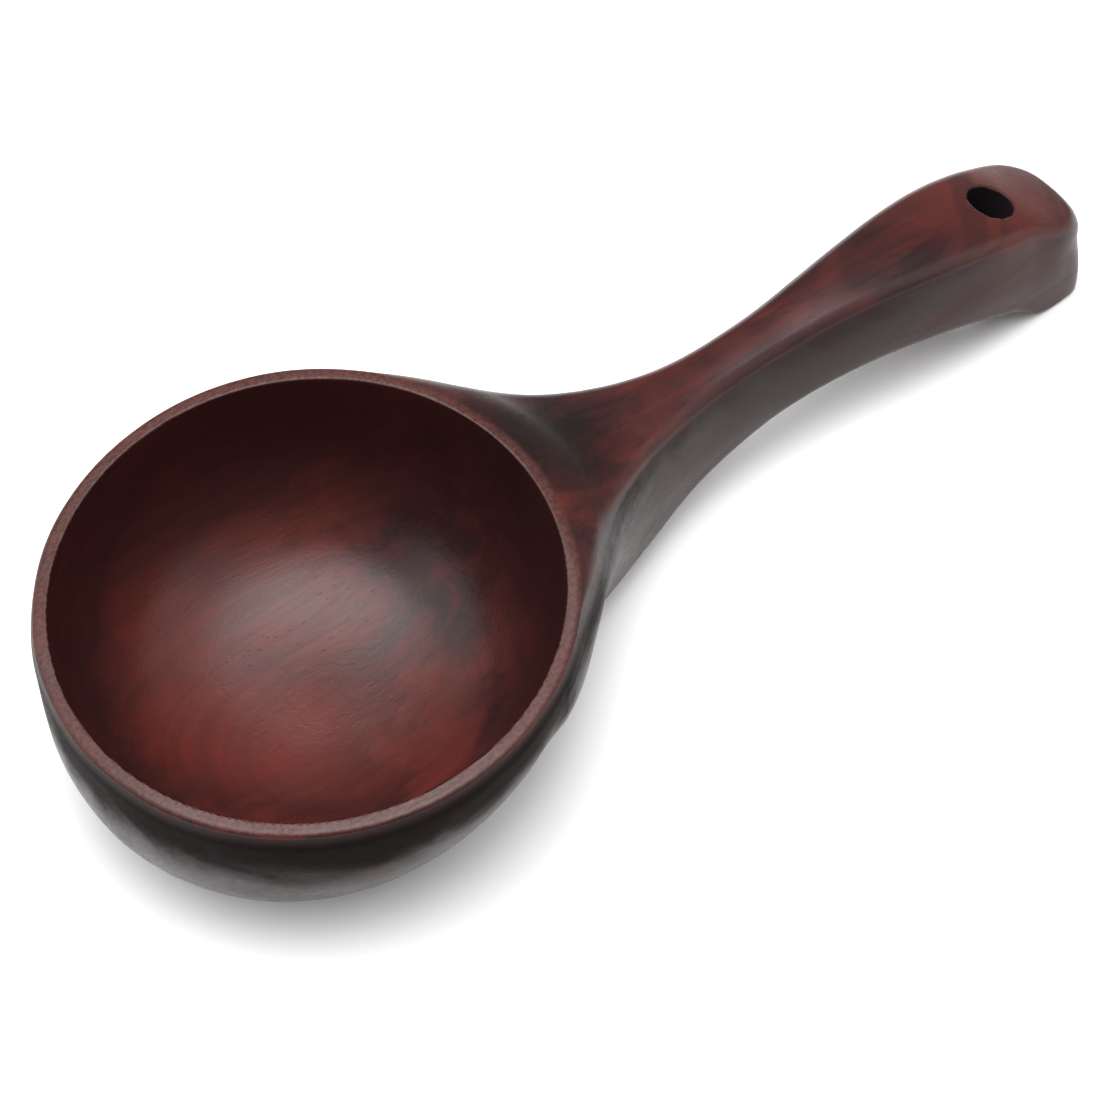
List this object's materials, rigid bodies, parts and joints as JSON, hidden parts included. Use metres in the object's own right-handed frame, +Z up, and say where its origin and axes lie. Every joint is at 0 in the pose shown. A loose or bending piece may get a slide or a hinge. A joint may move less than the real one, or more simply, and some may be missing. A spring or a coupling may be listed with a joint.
{
  "type": "wooden ladle",
  "caption": "Round-cupped wooden ladle with a spread handle root, an arched handle and a broad tip drilled for hanging.",
  "frame": {"origin": "on the table, on the face of the cup's foot, straight below the middle of the cup's mouth", "axes": "+X along the handle towards its tip, +Z up through the cup's mouth, +Y to the left seen from the cup"},
  "size_m": [0.2265, 0.0918, 0.044],
  "materials": {
    "stained_wood": "dark red-brown stain under satin lacquer"
  },
  "bodies": {
    "root": {"bowl": "stained_wood", "handle": "stained_wood"}
  },
  "joints": []
}
